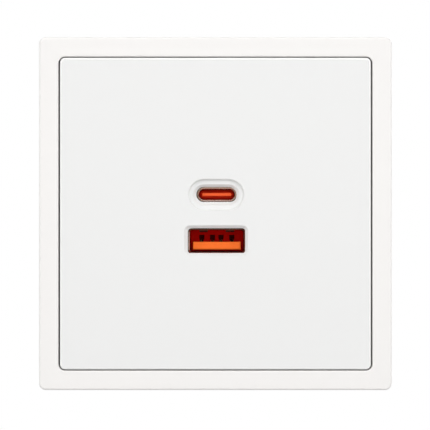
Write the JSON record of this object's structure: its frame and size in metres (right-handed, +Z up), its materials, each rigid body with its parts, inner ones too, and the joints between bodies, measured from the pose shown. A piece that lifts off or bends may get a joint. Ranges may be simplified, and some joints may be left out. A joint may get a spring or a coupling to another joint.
{
  "type": "usb wall socket",
  "caption": "Square flush-mounted wall socket with a USB-C port above a USB-A port, clip-fitted cover, claw fixings and screwless rear terminals.",
  "frame": {"origin": "centre of the support ring's back face, on the wall's surface", "axes": "+X to the right as seen from the room, +Y into the wall, +Z up"},
  "size_m": [0.081, 0.0403, 0.081],
  "materials": {
    "frame_plastic": "warm white moulded plastic, semi-gloss",
    "plate_plastic": "white moulded plastic, satin",
    "housing_plastic": "light grey moulded plastic, fine spark texture",
    "zinc_steel": "zinc-plated sheet steel",
    "screw_steel": "zinc-plated steel",
    "port_steel": "nickel-plated steel",
    "port_plastic": "orange connector plastic",
    "contact_metal": "gold-flashed contact metal",
    "brass": "brass strip",
    "spring_steel": "stainless spring strip",
    "terminal_plastic": "white moulded plastic",
    "button_plastic": "orange moulded plastic",
    "board": "green solder mask",
    "black_plastic": "black moulded plastic",
    "can_sleeve": "dark shrink sleeve",
    "bare_can": "drawn aluminium can",
    "ferrite": "ground ferrite",
    "copper_wire": "enamelled copper wire",
    "winding_tape": "yellow winding tape",
    "capacitor_box": "yellow film capacitor box",
    "disc_coating": "blue epoxy coating",
    "fuse_body": "brown coated tube",
    "chip_plastic": "black moulding compound"
  },
  "bodies": {
    "socket": {"cover_frame": "frame_plastic", "centre_plate": "plate_plastic", "support_ring": "zinc_steel", "front_housing": "housing_plastic", "rear_housing": "housing_plastic", "assembly_screws": "screw_steel", "claw_rivets": "screw_steel", "usb_a_shell": "port_steel", "usb_a_insulator": "port_plastic", "usb_a_contacts": "contact_metal", "usb_c_shell": "port_steel", "usb_c_insulator": "port_plastic", "usb_c_mid_plate": "port_steel", "usb_c_contacts": "contact_metal", "port_board": "board", "power_board": "board", "link_header": "black_plastic", "link_pins": "contact_metal", "terminal_block_line": "terminal_plastic", "terminal_block_neutral": "terminal_plastic", "contact_bar_line": "brass", "contact_bar_neutral": "brass", "clamp_spring_line": "spring_steel", "clamp_spring_neutral": "spring_steel", "input_capacitors": "can_sleeve", "output_capacitors": "bare_can", "choke_core": "ferrite", "choke_winding": "copper_wire", "transformer_core": "ferrite", "transformer_bobbin": "black_plastic", "transformer_winding": "winding_tape", "x_capacitor": "capacitor_box", "y_capacitor": "disc_coating", "varistor": "disc_coating", "fuse": "fuse_body", "optocoupler": "chip_plastic", "bridge_rectifier": "chip_plastic", "switching_chip": "chip_plastic", "output_rectifier": "chip_plastic", "charge_controller": "chip_plastic", "port_inductor": "ferrite"},
    "claw_left": {"claw_left": "zinc_steel"},
    "claw_right": {"claw_right": "zinc_steel"},
    "claw_screw_left": {"claw_screw_left": "screw_steel"},
    "claw_screw_right": {"claw_screw_right": "screw_steel"},
    "release_button_line": {"release_button_line": "button_plastic"},
    "release_button_neutral": {"release_button_neutral": "button_plastic"}
  },
  "joints": [
    {"name": "claw_screw_left_turn", "type": "hinge", "parent": "socket", "child": "claw_screw_left", "pos_m": [-0.0265, 0, 0], "axis": [0, 1, 0], "range_deg": [0, 920]},
    {"name": "claw_left_spread", "type": "hinge", "parent": "socket", "child": "claw_left", "pos_m": [-0.02245, 0.0026, 0], "axis": [0, 0, 1], "range_deg": [0, 18]},
    {"name": "claw_screw_right_turn", "type": "hinge", "parent": "socket", "child": "claw_screw_right", "pos_m": [0.0265, 0, 0], "axis": [0, 1, 0], "range_deg": [0, 920]},
    {"name": "claw_right_spread", "type": "hinge", "parent": "socket", "child": "claw_right", "pos_m": [0.02245, 0.0026, 0], "axis": [0, 0, -1], "range_deg": [0, 18]},
    {"name": "release_line_push", "type": "slide", "parent": "socket", "child": "release_button_line", "axis": [0, -1, 0], "range_m": [0, 0.0015], "stiffness_N_per_m": 500, "springref_m": -0.002, "deforming": ["clamp_spring_line"]},
    {"name": "release_neutral_push", "type": "slide", "parent": "socket", "child": "release_button_neutral", "axis": [0, -1, 0], "range_m": [0, 0.0015], "stiffness_N_per_m": 500, "springref_m": -0.002, "deforming": ["clamp_spring_neutral"]}
  ],
  "couplings": [
    {"joint": "claw_screw_left_turn", "follows": "claw_left_spread", "ratio": 51.1},
    {"joint": "claw_screw_right_turn", "follows": "claw_right_spread", "ratio": 51.1}
  ]
}
